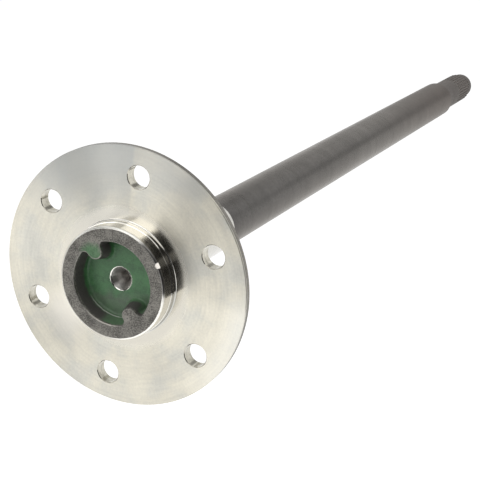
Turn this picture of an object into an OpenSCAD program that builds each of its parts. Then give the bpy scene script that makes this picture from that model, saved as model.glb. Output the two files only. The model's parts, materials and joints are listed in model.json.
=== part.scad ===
// Semi-floating rear axle shaft, forged and turned in one piece.
// The shaft lies along +Y. The wheel face of the flange is at y = 0, and the boss stands towards -Y.
// Lengths are in millimetres and angles in degrees, from +X towards +Z.

/* [Flange] */
// Outside diameter of the wheel flange
flange_d = 177.8; // [174:0.1:210]
// Thickness of the flange between its turned faces
flange_t = 8.8; // [6:0.1:14]
// Chamfer round the wheel side of the flange
flange_front_chamfer = 0.3; // [0.2:0.1:1.5]
// Chamfer round the axle side of the flange
flange_back_chamfer = 4; // [0.5:0.1:5]

/* [Stud holes] */
// Number of wheel stud holes
stud_count = 6; // [4:1:8]
// Diameter of the circle through the stud holes
stud_circle_d = 139.7; // [108:0.1:150]
// Diameter of each stud hole
stud_hole_d = 15.8; // [10:0.1:17]
// Chamfer at both ends of each stud hole
stud_hole_chamfer = 0.4; // [0.1:0.1:1]
// Angle of the first stud hole
stud_clock = 78.8; // [0:0.1:120]

/* [Boss] */
// Height of the boss rim above the wheel face
boss_h = 14.5; // [10:0.1:25]
// Diameter of the wheel pilot, at the front of the boss
wheel_pilot_d = 76.7; // [68:0.1:77.6]
// Diameter of the drum pilot, between the wheel pilot and the wheel face
drum_pilot_d = 77.8; // [77:0.1:90]
// Height of the drum pilot above the wheel face
drum_pilot_h = 4.5; // [3:0.1:8]
// Lead chamfer on the drum pilot
drum_pilot_lead = 0.3; // [0.1:0.1:0.8]
// Radius on the forged outer edge of the boss rim
boss_edge_r = 1.5; // [0.5:0.1:3]
// Fillet between the drum pilot and the wheel face
boss_root_r = 0.9; // [0.3:0.1:2]

/* [Recess] */
// Diameter of the forged recess at the boss rim
recess_d = 56.4; // [52:0.1:64]
// Depth of the recess below the boss rim
recess_depth = 12.4; // [8:0.1:16]
// Draft of the recess wall and of the drive lugs
recess_draft = 12; // [3:1:18]
// Fillet round the recess floor
recess_floor_r = 1.6; // [0.5:0.1:4]
// Chamfer round the mouth of the recess
recess_lip = 0.5; // [0.1:0.1:1.5]
// Number of drive lugs in the recess
lug_count = 2; // [1:1:4]
// Width of each drive lug at its top
lug_w = 11; // [7:0.1:14]
// Distance from the axle's centre to the tip of each lug's top
lug_tip_r = 18.3; // [16:0.1:21]
// Drop of the lug tops below the boss rim
lug_drop = 0.4; // [0.2:0.1:4]
// Angle of the first drive lug
lug_clock = 121; // [0:0.1:180]

/* [Centre holes] */
// Mouth diameter of the lathe centre in the recess floor
centre_d = 15.2; // [8:0.1:20]
// Pilot drill diameter of that centre
centre_drill_d = 6; // [2:0.1:7]
// Mouth diameter of the lathe centre in the splined end
end_centre_d = 9; // [6:0.1:12]
// Pilot drill diameter of the end centre
end_centre_drill_d = 4; // [1.5:0.1:5]
// Length of each pilot drill hole
centre_drill_l = 6; // [3:0.1:12]
// Width of the protecting chamfer round each centre
centre_guard = 0.7; // [0.2:0.1:1]

/* [Shaft] */
// Length from the wheel face to the splined end
shaft_l = 848; // [500:0.5:1000]
// Diameter of the ground journal for the bearing and the oil seal
journal_d = 38.9; // [38.5:0.1:46]
// Distance from the wheel face to the journal's far end
journal_end = 134; // [60:0.5:200]
// Fillet between the journal and the flange
journal_fillet_r = 6; // [2:0.5:12]
// Diameter of the turned shaft between the journal and the shoulder
shaft_d = 38.4; // [34:0.1:38.8]
// Length of the tapered shoulder down to the spline's neck
shoulder_l = 20; // [5:0.5:40]

/* [Spline] */
// Number of spline teeth
spline_teeth = 30; // [26:1:32]
// Module of the involute spline
spline_module = 1.0583; // [0.9:0.0001:1.12]
// Pressure angle of the spline
spline_pressure_angle = 30; // [25:1:35]
// Length from the shoulder to the clip groove
spline_l = 74.5; // [50:0.5:90]
// Plain neck between the shoulder and the spline's run-out
spline_neck_l = 27; // [0.5:0.1:35]
// Radius of the hob that leaves the run-out
hob_r = 30; // [20:1:50]
// Width of the groove for the retaining clip
groove_w = 6; // [3:0.1:9]
// Diameter at the bottom of the clip groove
groove_d = 22.4; // [20:0.1:25]
// Length of the button beyond the clip groove
button_l = 11.5; // [6:0.1:20]
// Diameter of the button
button_d = 28.4; // [26:0.1:31]
// Chamfer round the splined end
end_chamfer = 1; // [0.5:0.1:3]

/* [Hidden] */
$fn = 96;
steel = [0.66, 0.65, 0.61];

// How far cutting shapes run past the faces that they cut
past = 1;
// How far filling shapes reach into the metal that they join
bite = 0.5;

flange_r = flange_d / 2;
stud_hole_r = stud_hole_d / 2;
stud_circle_r = stud_circle_d / 2;
wheel_pilot_r = wheel_pilot_d / 2;
drum_pilot_r = drum_pilot_d / 2;
journal_r = journal_d / 2;
shaft_r = shaft_d / 2;
groove_r = groove_d / 2;
button_r = button_d / 2;

// Places along the axis, from the wheel face
rim_z = -boss_h;
floor_z = rim_z + recess_depth;
button_z = shaft_l - button_l;
groove_z = button_z - groove_w;
spline_z = groove_z - spline_l;
shoulder_z = spline_z - shoulder_l;
journal_step = journal_r - shaft_r;

// The recess wall and the fillet where it meets the floor
recess_r = recess_d / 2;
recess_floor_edge_r = recess_r - recess_depth * tan(recess_draft);
recess_arc_x = recess_floor_edge_r - recess_floor_r * (1 - sin(recess_draft)) / cos(recess_draft);
recess_arc_z = floor_z - recess_floor_r;

// The drive lugs, from below the floor to their tops
lug_top_z = rim_z + lug_drop;
lug_foot_z = floor_z + bite;
lug_h = lug_foot_z - lug_top_z;
lug_top_r = lug_w / 2;
lug_foot_r = lug_top_r + lug_h * tan(recess_draft);
lug_centre_r = lug_tip_r + lug_top_r;
lug_reach = recess_r + recess_lip + past - lug_centre_r;

// Lathe centres: a 60 degree cone behind a 120 degree protecting chamfer
centre_half_angle = 30;
guard_half_angle = 60;
drill_point_half_angle = 59;

// Stub form of the involute spline with its tips turned down, as multiples of its module
spline_addendum = 0.25;
spline_dedendum = 0.9;
pitch_r = spline_module * spline_teeth / 2;
base_r = pitch_r * cos(spline_pressure_angle);
spline_r = pitch_r + spline_addendum * spline_module;
root_r = pitch_r - spline_dedendum * spline_module;
tooth_depth = spline_r - root_r;
run_out_l = sqrt(2 * hob_r * tooth_depth - tooth_depth * tooth_depth);
full_depth_z = spline_z + spline_neck_l + run_out_l;
spline_cut_end_z = groove_z + groove_w / 2;
// Straight pieces along each tooth flank
flank_steps = 3;
// How far the tooth spaces reach past the root and the tip
flank_past = 0.3;

function polar(r, angle) = [r * cos(angle), r * sin(angle)];

// Involute function, in degrees
function involute(angle) = tan(angle) * 180 / PI - angle;

// Half of the angle that a spline tooth takes up at radius r
function tooth_half_angle(r) =
    90 / spline_teeth + involute(spline_pressure_angle) - involute(acos(base_r / r));

// Fills an inside corner at the origin, between +X and +Y
module corner_fillet(r) {
    difference() {
        translate([-bite, -bite]) square(r + bite);
        translate([r, r]) circle(r);
    }
}

// Half sections: X is the radius and Y is the place along the axis
module flange_section() {
    polygon([
        [0, 0],
        [flange_r - flange_front_chamfer, 0],
        [flange_r, flange_front_chamfer],
        [flange_r, flange_t - flange_back_chamfer],
        [flange_r - flange_back_chamfer, flange_t],
        [0, flange_t]
    ]);
}

module boss_section() {
    polygon([
        [0, bite],
        [0, rim_z],
        [wheel_pilot_r - boss_edge_r, rim_z],
        [wheel_pilot_r, rim_z + boss_edge_r],
        [wheel_pilot_r, -drum_pilot_h],
        [drum_pilot_r - drum_pilot_lead, -drum_pilot_h],
        [drum_pilot_r, drum_pilot_lead - drum_pilot_h],
        [drum_pilot_r, bite]
    ]);
    translate([wheel_pilot_r - boss_edge_r, rim_z + boss_edge_r]) circle(boss_edge_r);
    translate([drum_pilot_r, 0]) mirror([0, 1]) corner_fillet(boss_root_r);
}

module shaft_section() {
    polygon([
        [0, flange_t - bite],
        [journal_r, flange_t - bite],
        [journal_r, journal_end - journal_step],
        [shaft_r, journal_end],
        [shaft_r, shoulder_z],
        [spline_r, spline_z],
        [spline_r, groove_z],
        [groove_r, groove_z],
        [groove_r, button_z],
        [button_r, button_z],
        [button_r, shaft_l - end_chamfer],
        [button_r - end_chamfer, shaft_l],
        [0, shaft_l]
    ]);
    translate([journal_r, flange_t]) corner_fillet(journal_fillet_r);
}

module recess_section() {
    polygon([
        [0, rim_z - past],
        [recess_r + recess_lip, rim_z - past],
        [recess_r + recess_lip, rim_z],
        [recess_r - recess_lip * tan(recess_draft), rim_z + recess_lip],
        [
            recess_arc_x + recess_floor_r * cos(recess_draft),
            recess_arc_z + recess_floor_r * sin(recess_draft)
        ],
        [recess_arc_x, floor_z],
        [0, floor_z]
    ]);
    translate([recess_arc_x, recess_arc_z]) circle(recess_floor_r);
}

// The tooth spaces' bottom: root diameter, then the hob's arc out to the neck
module spline_cut_section() {
    cut_w = tooth_depth + flank_past;
    intersection() {
        translate([root_r, spline_z]) square([cut_w, spline_cut_end_z - spline_z]);
        union() {
            translate([root_r, full_depth_z]) square([cut_w, spline_cut_end_z - full_depth_z]);
            translate([root_r + hob_r, full_depth_z]) circle(hob_r);
        }
    }
}

// One space between two involute teeth
module tooth_space() {
    pitch_angle = 360 / spline_teeth;
    first_r = root_r - flank_past;
    last_r = spline_r + flank_past;
    radii = [for (k = [0:flank_steps]) first_r + (last_r - first_r) * k / flank_steps];
    rising = [for (k = [0:flank_steps]) polar(radii[k], tooth_half_angle(radii[k]))];
    falling = [
        for (k = [flank_steps:-1:0]) polar(radii[k], pitch_angle - tooth_half_angle(radii[k]))
    ];
    polygon(concat(rising, falling));
}

module spline_spaces() {
    intersection() {
        translate([0, 0, spline_z])
            linear_extrude(height = spline_cut_end_z - spline_z)
                for (i = [0:spline_teeth - 1]) rotate(i * 360 / spline_teeth) tooth_space();
        rotate_extrude() spline_cut_section();
    }
}

// A lug with a half round nose and drafted sides, pointing at the axle's centre
module drive_lug() {
    translate([lug_centre_r, 0, lug_top_z]) cylinder(h = lug_h, r1 = lug_top_r, r2 = lug_foot_r);
    translate([lug_centre_r, 0, 0])
        rotate([90, 0, 90])
            linear_extrude(height = lug_reach)
                polygon([
                    [-lug_top_r, lug_top_z],
                    [lug_top_r, lug_top_z],
                    [lug_foot_r, lug_foot_z],
                    [-lug_foot_r, lug_foot_z]
                ]);
}

module recess() {
    difference() {
        rotate_extrude() recess_section();
        for (i = [0:lug_count - 1]) rotate(lug_clock + i * 360 / lug_count) drive_lug();
    }
}

module stud_hole() {
    flare = stud_hole_r + stud_hole_chamfer + past;
    rotate_extrude()
        polygon([
            [0, -past],
            [flare, -past],
            [stud_hole_r, stud_hole_chamfer],
            [stud_hole_r, flange_t - stud_hole_chamfer],
            [flare, flange_t + past],
            [0, flange_t + past]
        ]);
}

// A lathe centre that opens at the origin and runs into the metal along +Z
module lathe_centre(mouth_d, drill_d) {
    mouth_r = mouth_d / 2;
    drill_r = drill_d / 2;
    guard_l = centre_guard / tan(guard_half_angle);
    cone_end = guard_l + (mouth_r - drill_r) / tan(centre_half_angle);
    drill_end = cone_end + centre_drill_l;
    rotate_extrude()
        polygon([
            [0, -past],
            [mouth_r + centre_guard, -past],
            [mouth_r + centre_guard, 0],
            [mouth_r, guard_l],
            [drill_r, cone_end],
            [drill_r, drill_end],
            [0, drill_end + drill_r / tan(drill_point_half_angle)]
        ]);
}

module turned_body() {
    rotate_extrude() {
        flange_section();
        boss_section();
        shaft_section();
    }
}

module axle_shaft() {
    color(steel)
        mirror([0, 1, -1])
            difference() {
                turned_body();
                recess();
                for (i = [0:stud_count - 1])
                    rotate(stud_clock + i * 360 / stud_count)
                        translate([stud_circle_r, 0, 0])
                            stud_hole();
                translate([0, 0, floor_z]) lathe_centre(centre_d, centre_drill_d);
                translate([0, 0, shaft_l]) mirror([0, 0, 1]) lathe_centre(end_centre_d, end_centre_drill_d);
                spline_spaces();
            }
}

axle_shaft();
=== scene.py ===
"""Looks of a one-piece axle shaft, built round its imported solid.

The shaft's skin is one mesh: rings of points round the axis, from the lathe centre in the boss to the
lathe centre in the splined end, with the stud holes drilled through the flange afterwards. Each stretch
of rings belongs to a zone, and each zone wears its own finish. Lengths are in metres, in the frame of the
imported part: the axis runs along +Y, the wheel face is at y = 0 and +Z is up.
"""

import json
import logging
import math
from dataclasses import dataclass, field
from enum import Enum
from functools import reduce
from typing import Any

import bmesh
import bpy
import numpy as np
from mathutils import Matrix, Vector, noise


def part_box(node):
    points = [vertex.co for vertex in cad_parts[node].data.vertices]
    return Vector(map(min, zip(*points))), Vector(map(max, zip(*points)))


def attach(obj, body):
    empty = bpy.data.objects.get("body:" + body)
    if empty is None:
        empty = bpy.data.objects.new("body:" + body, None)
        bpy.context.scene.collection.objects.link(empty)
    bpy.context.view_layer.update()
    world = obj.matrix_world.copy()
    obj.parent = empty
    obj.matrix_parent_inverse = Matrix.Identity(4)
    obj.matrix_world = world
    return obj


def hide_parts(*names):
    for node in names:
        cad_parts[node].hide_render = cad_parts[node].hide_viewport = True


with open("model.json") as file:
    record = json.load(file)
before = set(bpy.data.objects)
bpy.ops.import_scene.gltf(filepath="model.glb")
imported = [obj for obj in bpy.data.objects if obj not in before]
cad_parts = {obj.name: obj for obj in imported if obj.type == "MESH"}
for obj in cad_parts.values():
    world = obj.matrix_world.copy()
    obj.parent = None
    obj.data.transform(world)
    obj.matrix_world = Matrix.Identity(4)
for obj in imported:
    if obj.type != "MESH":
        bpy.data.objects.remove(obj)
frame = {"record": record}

log = logging.getLogger("axle_shaft")

MM = 0.001
NODE = "axle_shaft"
BODY = "root"
# Points round each ring of the skin
SEGMENTS = 360
# How far the floor lies below the flange
FLOOR_DROP = 0.21
# Average of a noise pattern
AVERAGE = 0.5
WHITE = (1.0, 1.0, 1.0)
BLACK = (0.0, 0.0, 0.0)

Profile = list[tuple[float, float]]
Point = tuple[float, float, float]
Colour = tuple[float, float, float]
Socket = bpy.types.NodeSocket
# What a node's input takes: a link, a number, or a colour or direction
Value = Socket | float | tuple[float, float, float]


class Zone(Enum):
    """Surfaces that have a finish of their own; the value is the material slot."""

    CENTRE = 0
    FORGED = 1
    PILOT = 2
    FLANGE = 3
    JOURNAL = 4
    SHAFT = 5
    SPLINE = 6
    HOLE = 7
    EDGE = 8
    LIP = 9
    BUTTON = 10


class MixKind(Enum):
    """Kinds of value that a mix node takes: its data type, first input and output."""

    NUMBER = ("FLOAT", 2, 0)
    DIRECTION = ("VECTOR", 4, 1)
    COLOUR = ("RGBA", 6, 2)


def arc(centre: tuple[float, float], radius: float, start: float, end: float, steps: int) -> Profile:
    """Points along a round stretch of a half section.

    Args:
        centre: Radius and axial place of the arc's centre.
        radius: Radius of the arc.
        start: First angle in degrees, from outwards towards the splined end.
        end: Last angle in degrees.
        steps: Number of straight pieces.

    Returns:
        The arc's points as pairs of radius and axial place, both ends among them.
    """
    angles = np.radians(np.linspace(start, end, steps + 1))
    return [(centre[0] + radius * math.cos(a), centre[1] + radius * math.sin(a)) for a in angles]


def ring(radii: float | np.ndarray, along: float | np.ndarray, angles: np.ndarray) -> np.ndarray:
    """Points of one ring round the axis.

    Args:
        radii: Radius of each point, or one radius for all.
        along: Axial place of each point, or one place for all.
        angles: Angle of each point in radians, from +X towards +Z.

    Returns:
        An array of points, one row each.
    """
    flat = np.ones_like(angles)
    return np.stack([radii * np.cos(angles), along * flat, radii * np.sin(angles)], axis=1)


def smooth_step(low: float, high: float, value: np.ndarray) -> np.ndarray:
    """Smooth rise from 0 at low to 1 at high.

    Args:
        low: Value where the rise starts.
        high: Value where the rise ends.
        value: Values to map.

    Returns:
        The mapped values.
    """
    share = np.clip((value - low) / (high - low), 0.0, 1.0)
    return share * share * (3.0 - 2.0 * share)


def link_object(name: str, data: bpy.types.ID) -> bpy.types.Object:
    """Puts a mesh, a camera or a lamp into the scene.

    Args:
        name: Name of the new object.
        data: What it shows.

    Returns:
        The new object.
    """
    made = bpy.data.objects.new(name, data)
    bpy.context.scene.collection.objects.link(made)
    return made


def point_at(piece: bpy.types.Object, place: Point, aim: Point) -> None:
    """Puts a camera or a lamp at a place and turns it towards a point."""
    piece.location = place
    piece.rotation_euler = (Vector(aim) - Vector(place)).to_track_quat("-Z", "Y").to_euler()


@dataclass(frozen=True)
class Interfaces:
    """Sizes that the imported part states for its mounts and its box."""

    flange_r: float
    rim_y: float
    end_y: float
    stud_circle_r: float
    stud_hole_r: float
    stud_count: int
    wheel_pilot_r: float
    drum_pilot_r: float
    drum_pilot_h: float
    journal_r: float
    journal_end: float

    @classmethod
    def from_frame(cls, record: dict[str, Any]) -> "Interfaces":
        """Reads the sizes.

        Args:
            record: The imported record.

        Returns:
            The sizes in metres.
        """
        mounts = {m["name"]: m for m in record["mounts"]}
        low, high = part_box(NODE)
        studs = mounts["wheel_studs"]["dims"]
        wheel, drum, journal = (mounts[n] for n in ("wheel_pilot", "drum_pilot", "bearing_journal"))
        wheel_back = wheel["pos_m"][1] + wheel["dims"]["length_mm"] * MM / 2
        return cls(
            flange_r=high.x,
            rim_y=low.y,
            end_y=high.y,
            stud_circle_r=studs["pcd_mm"] * MM / 2,
            stud_hole_r=studs["hole_r_mm"] * MM,
            stud_count=studs["count"],
            wheel_pilot_r=wheel["dims"]["r_mm"] * MM,
            drum_pilot_r=drum["dims"]["r_mm"] * MM,
            drum_pilot_h=-wheel_back,
            journal_r=journal["dims"]["r_mm"] * MM,
            journal_end=journal["pos_m"][1] + journal["dims"]["length_mm"] * MM / 2,
        )


@dataclass
class RingStack:
    """Skin of the shaft, as rings of points from one lathe centre to the other."""

    angles: np.ndarray
    rings: list[np.ndarray] = field(default_factory=list)
    zones: list[Zone] = field(default_factory=list)

    def add(self, points: np.ndarray, zone: Zone) -> None:
        """Adds one ring, and the zone of the faces between it and the ring before."""
        self.rings.append(points)
        self.zones.append(zone)

    def turn(self, profile: Profile, zone: Zone) -> None:
        """Adds a turned stretch of round rings that follow a half section."""
        for radius, along in profile:
            self.add(ring(radius, along, self.angles), zone)

    def mesh(self, name: str, first_tip: float, last_tip: float) -> bpy.types.Mesh:
        """Joins the rings into a closed mesh.

        Args:
            name: Name of the mesh.
            first_tip: Axial place of the point that closes the first ring.
            last_tip: Axial place of the point that closes the last ring.

        Returns:
            The mesh, with a material slot number on each face.
        """
        count = len(self.angles)
        points = np.concatenate(self.rings + [[[0.0, first_tip, 0.0], [0.0, last_tip, 0.0]]])
        steps = [(i, (i + 1) % count) for i in range(count)]
        last = (len(self.rings) - 1) * count
        first_point, last_point = len(points) - 2, len(points) - 1
        faces = [(first_point, b, a) for a, b in steps]
        slots = [self.zones[0].value] * count
        for k in range(1, len(self.rings)):
            low, high = (k - 1) * count, k * count
            faces += [(low + a, low + b, high + b, high + a) for a, b in steps]
            slots += [self.zones[k].value] * count
        faces += [(last_point, last + a, last + b) for a, b in steps]
        slots += [self.zones[-1].value] * count
        mesh = bpy.data.meshes.new(name)
        mesh.from_pydata(points.tolist(), [], faces)
        mesh.polygons.foreach_set("material_index", slots)
        return mesh


@dataclass(frozen=True)
class LatheCentre:
    """Centre hole left from turning: protecting chamfer, 60 degree cone, pilot drill and drill point."""

    mouth_r: float
    drill_r: float
    drill_l: float = 6.0 * MM
    guard: float = 0.7 * MM
    guard_angle: float = 60.0
    cone_angle: float = 30.0
    point_angle: float = 59.0
    # Share of the cone, from the drill outwards, where it has one more ring
    cone_ring: float = 0.3

    def section(self, mouth: float, inwards: float) -> tuple[Profile, float]:
        """Half section from the drill point's edge out to the mouth.

        Args:
            mouth: Axial place of the mouth.
            inwards: 1 if the hole runs towards +Y, or -1.

        Returns:
            The section, and the axial place of the drill's tip.
        """
        guard_end = self.guard / math.tan(math.radians(self.guard_angle))
        cone_w = self.mouth_r - self.drill_r
        cone_l = cone_w / math.tan(math.radians(self.cone_angle))
        cone_end = guard_end + cone_l
        drill_end = cone_end + self.drill_l
        tip = drill_end + self.drill_r / math.tan(math.radians(self.point_angle))
        depths = [
            (self.drill_r, drill_end),
            (self.drill_r, cone_end),
            (self.drill_r + self.cone_ring * cone_w, cone_end - self.cone_ring * cone_l),
            (self.mouth_r, guard_end),
            (self.mouth_r + self.guard, 0.0),
        ]
        return [(r, mouth + inwards * depth) for r, depth in depths], mouth + inwards * tip


@dataclass(frozen=True)
class BossRecess:
    """Forged recess in the boss, with two drive lugs that stand on its floor."""

    rim_y: float
    mouth_r: float = 28.2 * MM
    depth: float = 12.4 * MM
    draft: float = 12.0
    floor_fillet: float = 1.6 * MM
    lip: float = 0.7 * MM
    lug_clock: float = 121.0
    lug_nose_r: float = 5.5 * MM
    lug_tip_r: float = 18.3 * MM
    lug_drop: float = 0.4 * MM
    lug_fillet: float = 2.9 * MM
    centre: LatheCentre = LatheCentre(mouth_r=7.6 * MM, drill_r=3.0 * MM)
    # Points along the nose, the fillet and the wall of each quarter of the outline
    quarter_points: tuple[int, int, int] = (16, 10, 64)
    # Rings round the lip and round the floor's fillet
    lip_rings: int = 5
    fillet_rings: int = 7
    # Where other rings lie: across the floor, down the wall and across the inner part of the rim
    floor_shares: tuple[float, ...] = (0.08, 0.25, 0.45, 0.65, 0.82, 0.95)
    wall_shares: tuple[float, ...] = (0.35, 0.7)
    rim_shares: tuple[float, ...] = (0.1, 0.22, 0.36, 0.5, 0.64, 0.78, 0.9, 1.0)
    # Width of the inner part of the rim, and depth over which the lugs' drop fades, both in lips
    rim_lips: float = 2.2
    drop_lips: float = 2.0
    grain_size: float = 2.2 * MM
    grain_depth: float = 0.13 * MM
    # The grain's finer layer: how much finer it is, and its share
    fine_ratio: float = 2.3
    fine_share: float = 0.5
    # How fast the grain grows across the floor from the lathe centre
    grain_growth: float = 3.0

    @property
    def floor_y(self) -> float:
        """Axial place of the floor."""
        return self.rim_y + self.depth

    @property
    def rim_inner_r(self) -> float:
        """Radius where the inner part of the rim ends."""
        return self.mouth_r + self.rim_lips * self.lip

    @property
    def lug_centre_r(self) -> float:
        """Distance from the axis to the middle of each lug's nose."""
        return self.lug_tip_r + self.lug_nose_r

    @property
    def fillet_centre(self) -> tuple[float, float]:
        """Middle of the fillet between a lug and the wall, along and across the lug's own axis."""
        across = self.lug_nose_r + self.lug_fillet
        return math.sqrt((self.mouth_r - self.lug_fillet) ** 2 - across**2), across

    @property
    def join(self) -> float:
        """Angle from a lug's axis to the place where its fillet meets the wall, in radians."""
        along, across = self.fillet_centre
        return math.atan2(across, along)

    def quarter(self, inset: float) -> np.ndarray:
        """Outline from a lug's tip to the middle of the gap between the lugs.

        Args:
            inset: How far the outline has moved in from the one at the rim.

        Returns:
            Points along and across the lug's own axis, without the last one.
        """
        spans = ((math.pi, math.pi / 2), (-math.pi / 2, self.join), (self.join, math.pi / 2))
        centres = ((self.lug_centre_r, 0.0), self.fillet_centre, (0.0, 0.0))
        radii = (self.lug_nose_r + inset, self.lug_fillet - inset, self.mouth_r - inset)
        parts = []
        for (start, end), count, (along, across), radius in zip(spans, self.quarter_points, centres, radii):
            turn = np.linspace(start, end, count, endpoint=False)
            parts.append(np.stack([along + radius * np.cos(turn), across + radius * np.sin(turn)], axis=1))
        return np.concatenate(parts)

    def outline(self, inset: float) -> np.ndarray:
        """Closed outline of the recess, from the first lug's tip round to it.

        Args:
            inset: How far the outline has moved in from the one at the rim.

        Returns:
            Points across the axis, as x and z.
        """
        quarter = self.quarter(inset)
        middle = np.array([[0.0, self.mouth_r - inset]])
        half = np.concatenate([quarter, middle, (quarter * [-1.0, 1.0])[:0:-1]])
        whole = np.concatenate([half, -half])
        clock = math.radians(self.lug_clock)
        turn = np.array([[math.cos(clock), -math.sin(clock)], [math.sin(clock), math.cos(clock)]])
        return whole @ turn.T

    def even_angles(self) -> np.ndarray:
        """Angles of the outline's points, spread evenly along the nose and fillet and along the wall.

        Returns:
            The angles in radians, from +X towards +Z.
        """
        nose_n, fillet_n, wall_n = self.quarter_points
        near = np.linspace(0.0, self.join, nose_n + fillet_n, endpoint=False)
        far = np.linspace(self.join, math.pi / 2, wall_n, endpoint=False)
        quarter = np.concatenate([near, far])
        half = np.concatenate([quarter, [math.pi / 2], math.pi - quarter[:0:-1]])
        return np.concatenate([half, half + math.pi]) + math.radians(self.lug_clock)

    def roughen(self, points: np.ndarray, share: float = 1.0) -> np.ndarray:
        """Moves points a little, as the forging die leaves them.

        Args:
            points: Points of one ring.
            share: Share of the full grain depth.

        Returns:
            The moved points.
        """
        moved = points.copy()
        for i, point in enumerate(points):
            spot = Vector(point) / self.grain_size
            shift = noise.noise_vector(spot) + self.fine_share * noise.noise_vector(spot * self.fine_ratio)
            moved[i] += np.array(shift) * self.grain_depth * share
        return moved

    def drop_at(self, reach: np.ndarray) -> np.ndarray:
        """How far the forging lies below the rim, at distances from the axis; only the lugs lie lower."""
        return self.lug_drop * (1.0 - smooth_step(self.mouth_r - self.lip, self.mouth_r + self.lip, reach))

    def wall_section(self) -> list[tuple[float, float]]:
        """Rings from the lip down to the floor's edge.

        Returns:
            Inset and depth of each ring.
        """
        draft, fillet = math.radians(self.draft), self.floor_fillet
        slope = math.tan(draft)
        rings = []
        for turn in np.linspace(0.0, math.pi / 2 - draft, self.lip_rings):
            rings.append((self.lip * (math.sin(turn) - 1.0), self.lip * (1.0 - math.cos(turn))))
        fillet_h = fillet * (1.0 - math.sin(draft))
        for share in self.wall_shares:
            depth = self.lip + (self.depth - fillet_h - self.lip) * share
            rings.append((depth * slope, depth))
        fillet_in = self.depth * slope + fillet_h / math.cos(draft)
        for turn in np.linspace(draft, math.pi / 2, self.fillet_rings):
            rings.append((fillet_in - fillet * math.cos(turn), self.depth - fillet * (1.0 - math.sin(turn))))
        return rings

    def at_depth(self, step: tuple[float, float]) -> np.ndarray:
        """Ring of the recess wall.

        Args:
            step: Inset and depth of the ring.

        Returns:
            The ring's points; those on the lugs lie lower near the rim by the lugs' drop.
        """
        inset, depth = step
        flat = self.outline(inset)
        fade = max(0.0, 1.0 - depth / (self.drop_lips * self.lip))
        along = self.rim_y + depth + self.drop_at(np.hypot(flat[:, 0], flat[:, 1])) * fade
        return np.stack([flat[:, 0], along, flat[:, 1]], axis=1)

    def build(self, skin: RingStack) -> float:
        """Adds the lathe centre, the floor, the wall with its lugs, and the inner part of the rim.

        Args:
            skin: Stack that the rings go to.

        Returns:
            Axial place of the drill's tip.
        """
        section, tip = self.centre.section(self.floor_y, 1.0)
        even = self.even_angles()
        for radius, along in section:
            skin.add(ring(radius, along, even), Zone.CENTRE)
        # The protecting chamfer is turned as bright as the pilots
        skin.zones[-1] = Zone.PILOT
        wall = self.wall_section()
        mouth = ring(section[-1][0], self.floor_y, even)
        floor = self.at_depth(wall[-1])
        for share in self.floor_shares:
            level = mouth * (1 - share) + floor * share
            skin.add(self.roughen(level, min(1.0, self.grain_growth * share)), Zone.FORGED)
        for i, step in reversed(list(enumerate(wall))):
            zone = Zone.LIP if i < self.lip_rings - 1 else Zone.FORGED
            skin.add(self.roughen(self.at_depth(step)), zone)
        top = self.at_depth(wall[0])
        rim = ring(self.rim_inner_r, self.rim_y, even)
        for share in self.rim_shares:
            level = top * (1 - share) + rim * share
            level[:, 1] = self.rim_y + self.drop_at(np.hypot(level[:, 0], level[:, 2]))
            skin.add(self.roughen(level), Zone.FORGED)
        return tip


@dataclass(frozen=True)
class PilotBoss:
    """Rim and turned outside of the boss, with the wheel pilot and the drum pilot."""

    sizes: Interfaces
    recess: BossRecess
    edge_r: float = 1.5 * MM
    root_r: float = 0.9 * MM
    lead: float = 0.3 * MM
    # How far the raw rim's zone runs on past the rounded edge
    zone_past: float = 0.3 * MM
    # Share of the forged grain that is left on the rounded edge, and share that the flat loses towards it
    edge_grain: float = 0.12
    rim_calm: float = 0.6
    # Distance from an edge to the ring that keeps its neighbour flat
    hold: float = 0.25 * MM
    # Where rings lie across the outer part of the rim
    rim_shares: tuple[float, ...] = (0.2, 0.4, 0.6, 0.8, 0.95, 1.0)
    arc_steps: int = 6

    @property
    def rim_r(self) -> float:
        """Outer radius of the rim's flat."""
        return self.sizes.wheel_pilot_r - self.edge_r

    def build(self, skin: RingStack) -> None:
        """Adds the rim's outer part, the pilots and the fillet to the wheel face.

        Args:
            skin: Stack that the rings go to.
        """
        size, drum_top = self.sizes, -self.sizes.drum_pilot_h
        inner, even = self.recess.rim_inner_r, self.recess.even_angles()
        for share in self.rim_shares:
            radius = inner + (self.rim_r - inner) * share
            level = ring(radius, size.rim_y, even * (1 - share) + skin.angles * share)
            skin.add(self.recess.roughen(level, 1.0 - self.rim_calm * share), Zone.FORGED)
        edge_end = size.rim_y + self.edge_r
        for radius, along in arc((self.rim_r, edge_end), self.edge_r, -90.0, 0.0, self.arc_steps)[1:]:
            skin.add(self.recess.roughen(ring(radius, along, skin.angles), self.edge_grain), Zone.FORGED)
        skin.turn([(size.wheel_pilot_r, edge_end + self.zone_past)], Zone.FORGED)
        skin.turn(
            [
                (size.wheel_pilot_r, drum_top - self.hold),
                (size.wheel_pilot_r, drum_top),
                (size.drum_pilot_r - self.lead, drum_top),
                (size.drum_pilot_r, drum_top + self.lead),
                (size.drum_pilot_r, drum_top + self.lead + self.hold),
                (size.drum_pilot_r, -self.root_r - self.hold),
            ],
            Zone.PILOT,
        )
        corner = (size.drum_pilot_r + self.root_r, -self.root_r)
        skin.turn(arc(corner, self.root_r, 180.0, 90.0, self.arc_steps), Zone.PILOT)


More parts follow.
